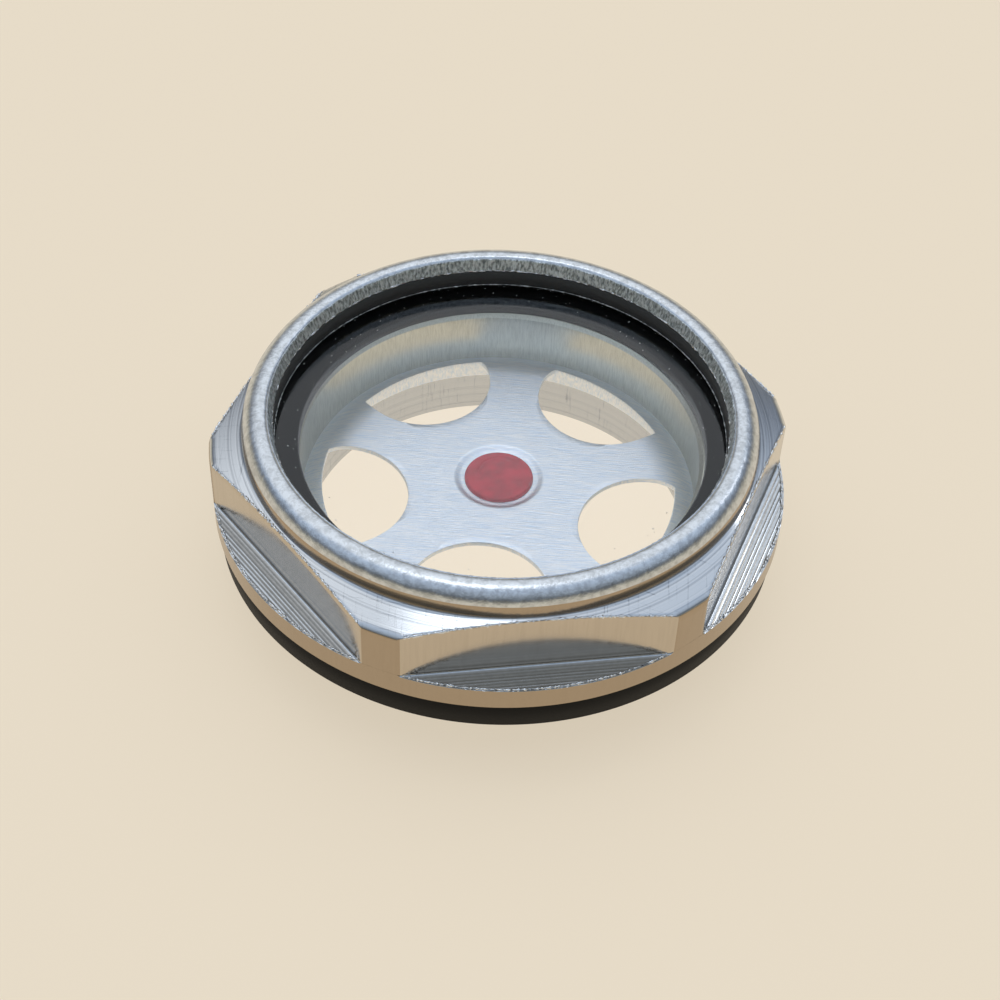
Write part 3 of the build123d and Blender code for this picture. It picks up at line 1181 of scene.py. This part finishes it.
# %% A ragged line along a path
def ragged_line_tree(seed=7):
    """Ragged bead along each path."""
    tree, given, group_out = new_tree("ragged_line", ["Step", "Thickness"], ["Raggedness"])
    curve = add_node(tree, "GeometryNodeMeshToCurve", {0: given["Geometry"]})
    steps = add_node(
        tree, "GeometryNodeResampleCurve", {"Curve": curve, "Length": given["Step"]}, mode="LENGTH"
    )
    share = add_node(tree, "FunctionNodeRandomValue", {2: 0.05, 3: 1.0, "Seed": seed})
    steep = add_node(tree, "ShaderNodeMath", {0: share.outputs[1], 1: 1.6}, operation="POWER")
    thickness = add_node(
        tree, "ShaderNodeMath", {0: steep, 1: given["Thickness"]}, operation="MULTIPLY"
    )
    profile = add_node(tree, "GeometryNodeCurvePrimitiveCircle", {"Resolution": 5, "Radius": 1.0})
    sweep = add_node(
        tree,
        "GeometryNodeCurveToMesh",
        {"Fill Caps": True, "Curve": steps, "Profile Curve": profile, "Scale": thickness},
    )
    push = add_node(
        tree,
        "FunctionNodeRandomValue",
        {0: (-1, -1, -1), 1: (1, 1, 1), "Seed": seed + 1},
        data_type="FLOAT_VECTOR",
    )
    offset = add_node(
        tree, "ShaderNodeVectorMath", {0: push, 1: given["Raggedness"]}, operation="MULTIPLY"
    )
    rough = add_node(tree, "GeometryNodeSetPosition", {"Geometry": sweep, "Offset": offset})
    end_tree(tree, rough, given["Material"], group_out)
    return tree


RAGGED_LINE = ragged_line_tree()
# Burrs: fresh metal, painted paler and brighter than the faces as a painted highlight for the glint
# of facets that look every way
BURR_METAL = cut_aluminium("burr_aluminium", 0.25, 0.2, 0.02, "#C8CACC", "#F4F6F8")
print("tree:", RAGGED_LINE.name)

# %% [markdown]
# Burrs sit where the side cutter left the metal: on the rim along each ledge, and along the arc where
# a flat cuts the cone. They stop short of the corners and stay inside the rim.

# %% Burrs and torn bits
BURR_REACH = 0.96  # share of the flat's angle
BURR_INSET = 0.22 * MM
BURR_LIFT = 0.05 * MM


def ring_path(radius, level):
    """Closed circle as a single path."""
    ring = circle(radius, level, 720)
    return [ring + ring[:1]]


def edge_paths():
    """Edges of the ledges on the rim, then the hexagon's upper edges."""
    reach = np.linspace(-FLAT_HALF_ANGLE * BURR_REACH, FLAT_HALF_ANGLE * BURR_REACH, 90)
    level = ledge_height(RIM * np.cos(reach) - FLAT_DISTANCE) + BURR_LIFT
    radius = FLAT_DISTANCE / np.cos(reach) - BURR_LIFT
    paths = []
    for distance, height in ((RIM - BURR_INSET, level), (radius, cone_level(radius))):
        for side in range(SIDES):
            turns = -math.pi / 2 + side * math.tau / SIDES + reach
            paths.append(list(zip(distance * np.cos(turns), distance * np.sin(turns), height)))
    return paths


def ragged(name, paths, step, thickness, push, material):
    """Ragged line along paths, with its measures in millimetres."""
    return grow(
        name,
        RAGGED_LINE,
        path_mesh(f"{name}_path", paths),
        Step=step * MM,
        Thickness=thickness * MM,
        Raggedness=tuple(way * MM for way in push),
        Material=material,
    )


torn_ring = ring_path(LIP_OPENING + 0.08 * MM, LIP_UNDERSIDE + 0.12 * MM)
burrs = ragged("milling_burrs", edge_paths(), 0.16, 0.22, (0.04, 0.04, 0.05), BURR_METAL)
torn_bits = ragged("torn_lip_bits", torn_ring, 0.3, 0.16, (0.07, 0.07, 0.05), BURR_METAL)
print("burrs:", len(burrs.data.polygons), "faces; torn bits:", len(torn_bits.data.polygons))

# %% [markdown]
# The upper seal crumbles a little where it presses on the glass, and its crumbs are the same ragged
# line, finer. They take the pale dust colour, a painted highlight along the seal's edge on the glass.
# Dust gathers under the lip, where no cloth reaches: the second tree scatters small flattened grains
# over a ring of the glass, each one with its own size and turn.

# %% Crumbs and dust on the glass
# The pale colour serves the dust, and on the seal's crumbs it is a painted highlight
DUST_AND_GLINT = new_material("pale_dust_and_glint", "#E9EAE6", Roughness=0.8)[0]  # chalky specks that catch the eye
seal_corner = ring_path(LIP_OPENING - 0.05 * MM, GLASS_TOP + 0.06 * MM)
crumbs = ragged("seal_crumbs", seal_corner, 0.2, 0.07, (0.03, 0.03, 0.03), DUST_AND_GLINT)


def speck_tree(seed=3):
    """Small angular specks on a surface."""
    tree, given, group_out = new_tree("dust_specks", ["Specks per m2", "Smallest", "Largest"])
    scatter = add_node(
        tree,
        "GeometryNodeDistributePointsOnFaces",
        {"Seed": seed, "Mesh": given["Geometry"], "Density": given["Specks per m2"]},
    )
    size = add_node(
        tree, "FunctionNodeRandomValue", {"Seed": seed + 1, 2: given["Smallest"], 3: given["Largest"]}
    )
    turn = add_node(
        tree,
        "FunctionNodeRandomValue",
        {0: (0, 0, 0), 1: (6, 6, 6), "Seed": seed + 2},
        data_type="FLOAT_VECTOR",
    )
    speck = add_node(tree, "GeometryNodeMeshIcoSphere", {"Radius": 1.0, "Subdivisions": 1})
    flat = add_node(tree, "GeometryNodeTransform", {"Scale": (1.0, 0.6, 0.35), "Geometry": speck})
    placed = add_node(
        tree,
        "GeometryNodeInstanceOnPoints",
        {"Points": scatter, "Instance": flat, "Rotation": turn, "Scale": size.outputs[1]},
    )
    end_tree(tree, placed, given["Material"], group_out)
    return tree


def ring_sheet(name, inner, outer, level, steps=96):
    """Flat ring to scatter on."""
    points = circle(inner, level, steps) + circle(outer, level, steps)
    faces = [(i, (i + 1) % steps, steps + (i + 1) % steps, steps + i) for i in range(steps)]
    mesh = bpy.data.meshes.new(name)
    mesh.from_pydata(points, [], faces)
    return mesh


dust = grow(
    "dust_specks",
    speck_tree(),
    ring_sheet("dusty_glass", BORE - 1 * MM, LIP_OPENING - 0.1 * MM, GLASS_TOP + 0.02 * MM),
    **{"Specks per m2": 4.5e5, "Smallest": 0.02 * MM, "Largest": 0.11 * MM},
    Material=DUST_AND_GLINT,
)
print("crumbs:", len(crumbs.data.polygons), "faces; dust:", len(dust.data.polygons) // 20, "specks")

# %% [markdown]
# ## Screw thread
#
# The spigot screws into the tank. Its thread is a fine metric one, cut on a lathe: a ridge follows a
# helix and runs out at both ends. Its section is a trapezium, first drawn upright on its base and
# then turned, so that the crest points away from the axis.

# %% Section of the thread
THREAD_PITCH = 1.5 * MM
THREAD_TURNS = 3.0
THREAD_START = SPIGOT_END + 1.0 * MM
ROOT_WIDTH = 0.85 * THREAD_PITCH
CREST_WIDTH = 0.16 * THREAD_PITCH
SECTION_TURN = math.pi / 2
THREAD_INPUTS = ("Radius", "Depth", "Pitch", "Turns", "Start", "Root width", "Crest width")


def thread_section(tree, given):
    """Trapezium with its base on the helix and its crest outwards."""
    section = add_node(
        tree,
        "GeometryNodeCurvePrimitiveQuadrilateral",
        {
            "Offset": 0.0,
            "Height": given["Depth"],
            "Bottom Width": given["Root width"],
            "Top Width": given["Crest width"],
        },
        mode="TRAPEZOID",
    )
    half = add_node(tree, "ShaderNodeMath", {0: given["Depth"], 1: 0.5}, operation="MULTIPLY")
    lift = add_node(tree, "ShaderNodeCombineXYZ", {"Y": half})
    raised = add_node(tree, "GeometryNodeTransform", {"Geometry": section, "Translation": lift})
    return add_node(
        tree, "GeometryNodeTransform", {"Rotation": (0, 0, SECTION_TURN), "Geometry": raised}
    )


print("thread pitch", round(THREAD_PITCH / MM, 2), "mm")

# %% [markdown]
# The tree draws the helix from its radius, pitch and turns, keeps its normals level and sweeps the
# section along it. At both ends the ridge thins out, as it does where the tool enters and leaves.

# %% Sweep the thread
def thread_tree():
    """Helix swept with the thread's section, thin at both ends."""
    tree, given, group_out = new_tree("screw_thread", THREAD_INPUTS)
    rise = add_node(
        tree, "ShaderNodeMath", {0: given["Pitch"], 1: given["Turns"]}, operation="MULTIPLY"
    )
    helix = add_node(
        tree,
        "GeometryNodeCurveSpiral",
        {
            "Resolution": 120,
            "Rotations": given["Turns"],
            "Start Radius": given["Radius"],
            "End Radius": given["Radius"],
            "Height": rise,
        },
    )
    start = add_node(tree, "ShaderNodeCombineXYZ", {"Z": given["Start"]})
    placed = add_node(tree, "GeometryNodeTransform", {"Geometry": helix, "Translation": start})
    upright = add_node(tree, "GeometryNodeSetCurveNormal", {"Curve": placed}, mode="Z_UP")
    along = add_node(tree, "GeometryNodeSplineParameter").outputs["Factor"]
    from_end = add_node(tree, "ShaderNodeMath", {0: along, 1: 0.5}, operation="PINGPONG")
    taper = {"From Max": 0.04, "To Min": 0.05, "Value": from_end}
    size = add_node(tree, "ShaderNodeMapRange", taper)
    section = thread_section(tree, given)
    sweep = add_node(
        tree,
        "GeometryNodeCurveToMesh",
        {"Fill Caps": True, "Curve": upright, "Profile Curve": section, "Scale": size},
    )
    end_tree(tree, sweep, given["Material"], group_out)
    return tree


screw_thread = grow(
    "spigot_thread",
    thread_tree(),
    path_mesh("no_path", [[(0, 0, 0)]]),
    Radius=THREAD_ROOT - 0.02 * MM,
    Depth=THREAD_DEPTH + 0.02 * MM,
    Pitch=THREAD_PITCH,
    Turns=THREAD_TURNS,
    Start=THREAD_START,
    **{"Root width": ROOT_WIDTH, "Crest width": CREST_WIDTH},
    Material=THREADED,
)
sharpen(screw_thread)
reach = [math.hypot(point.co.x, point.co.y) / MM for point in screw_thread.data.vertices]
print("thread:", round(min(reach), 2), "to", round(max(reach), 2), "mm from the axis")

# %% [markdown]
# ## Ride on the body
#
# Nothing moves, so every piece rides on the one body. Each one stands in for its part of the
# construction, whose node is hidden, or trims it, and its row lists a finish.

# %% Ride on the body
PIECES = (
    (body, "body", "machined_aluminium"),
    (upper_seal, "upper_seal", "nitrile_rubber"),
    (lower_seal, "lower_seal", "nitrile_rubber"),
    (flange_gasket, "flange_gasket", "nitrile_rubber"),
    (window_glass, "window_glass", "clear_glass"),
    (reflector, "reflector", "brushed_sheet"),
    (red_dot, "red_dot", "red_enamel"),
)
TRIMMINGS = (
    (screw_thread, "machined_aluminium"),
    (burrs, "machined_aluminium"),
    (torn_bits, "machined_aluminium"),
    (crumbs, "nitrile_rubber"),
    (dust, "clear_glass"),
)
for piece, node, finish in PIECES:
    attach(piece, "root")
    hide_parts(node)
for piece, finish in TRIMMINGS:
    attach(piece, "root")
